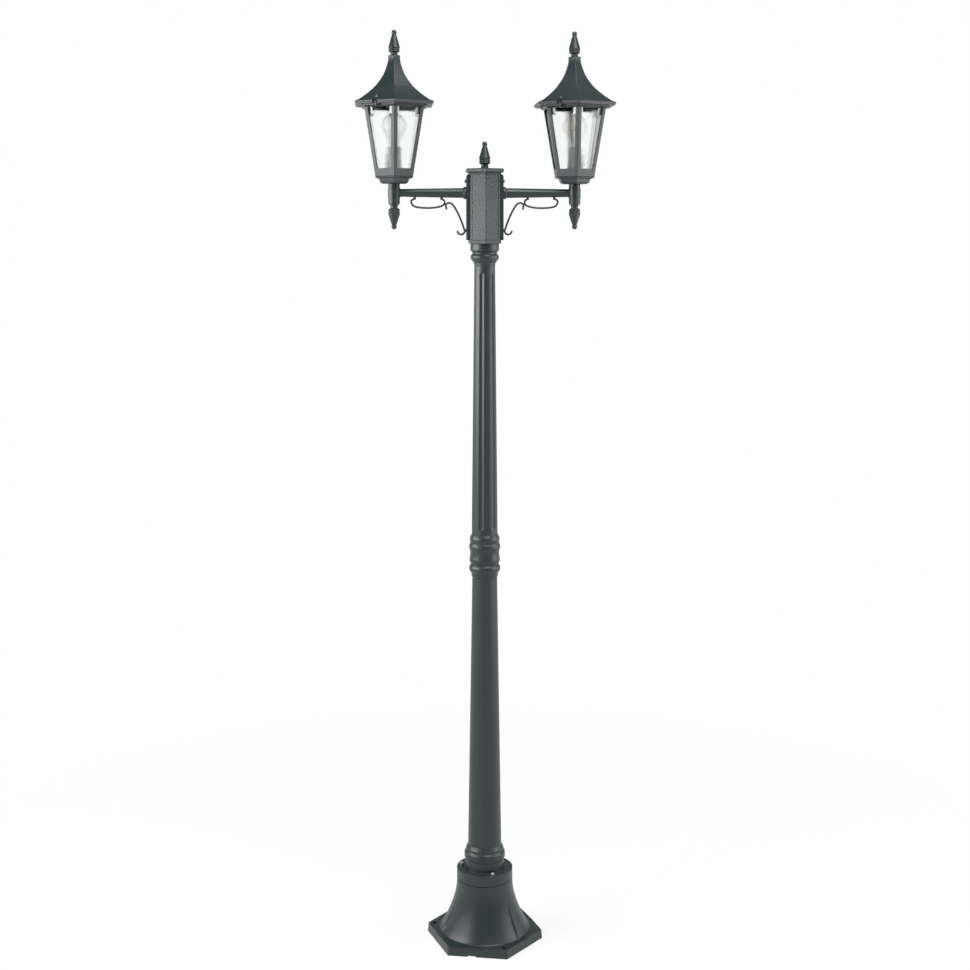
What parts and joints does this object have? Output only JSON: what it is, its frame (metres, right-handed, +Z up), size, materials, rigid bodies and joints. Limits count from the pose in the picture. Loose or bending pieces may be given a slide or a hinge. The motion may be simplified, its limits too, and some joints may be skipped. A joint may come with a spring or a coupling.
{
  "type": "lamp post",
  "caption": "Garden lamp post with a bell base, tapered pole, junction box and opposite scrolled arms, each carrying a hexagonal glass lantern with a hinged roof.",
  "frame": {"origin": "on the ground at the centre of the base plate, on the pole's axis", "axes": "+Z up along the pole, +X along the arm to the right lantern, +Y away from the viewer of the picture"},
  "size_m": [0.6296, 0.2682, 2.1971],
  "materials": {
    "paint": "satin paint",
    "pane_glass": "clear",
    "bulb_glass": "clear",
    "filament": "clear",
    "bulb_cap": "satin",
    "holder": "matte",
    "seal": "matte",
    "steel": "brushed",
    "terminal": "gloss",
    "brass": "bright"
  },
  "bodies": {
    "post": {"arm_left": "paint", "arm_locknuts": "steel", "arm_right": "paint", "base_casting": "paint", "box_finial": "paint", "box_lid": "paint", "bulb_cap_left": "bulb_cap", "bulb_cap_right": "bulb_cap", "bulb_glass_left": "bulb_glass", "bulb_glass_right": "bulb_glass", "bulb_stem_left": "filament", "bulb_stem_right": "filament", "drop_finial_left": "paint", "drop_finial_right": "paint", "earth_screw": "steel", "glazing_frame_left": "paint", "glazing_frame_right": "paint", "hinge_pins": "steel", "junction_box": "paint", "lampholder_left": "holder", "lampholder_right": "holder", "lantern_pan_left": "paint", "lantern_pan_right": "paint", "lid_seal": "seal", "lower_pole": "paint", "mid_collar": "paint", "mounting_plate_left": "steel", "mounting_plate_right": "steel", "pane_clips": "steel", "panes_left": "pane_glass", "panes_right": "pane_glass", "pole_foot": "paint", "pole_grub_screws": "steel", "pole_head": "paint", "pole_head_screws": "steel", "roof_seal_left": "seal", "roof_seal_right": "seal", "scroll_left": "paint", "scroll_right": "paint", "side_plate_left": "paint", "side_plate_right": "paint", "side_plate_screws": "steel", "socket_ring": "paint", "socket_ring_screws": "steel", "stem_left": "paint", "stem_right": "paint", "terminal_block": "terminal", "terminal_screws": "brass", "upper_pole": "paint"},
    "left_roof": {"roof_left": "paint", "roof_finial_left": "paint", "roof_nut_left": "steel", "closing_screw_left": "steel"},
    "right_roof": {"roof_right": "paint", "roof_finial_right": "paint", "roof_nut_right": "steel", "closing_screw_right": "steel"}
  },
  "joints": [
    {"name": "left_roof_hinge", "type": "hinge", "parent": "post", "child": "left_roof", "pos_m": [-0.26465, -0.07734, 2.0168], "axis": [0.866, -0.5, 0], "range_deg": [0, 95]},
    {"name": "right_roof_hinge", "type": "hinge", "parent": "post", "child": "right_roof", "pos_m": [0.17535, -0.07734, 2.0168], "axis": [0.866, -0.5, 0], "range_deg": [0, 95]}
  ]
}
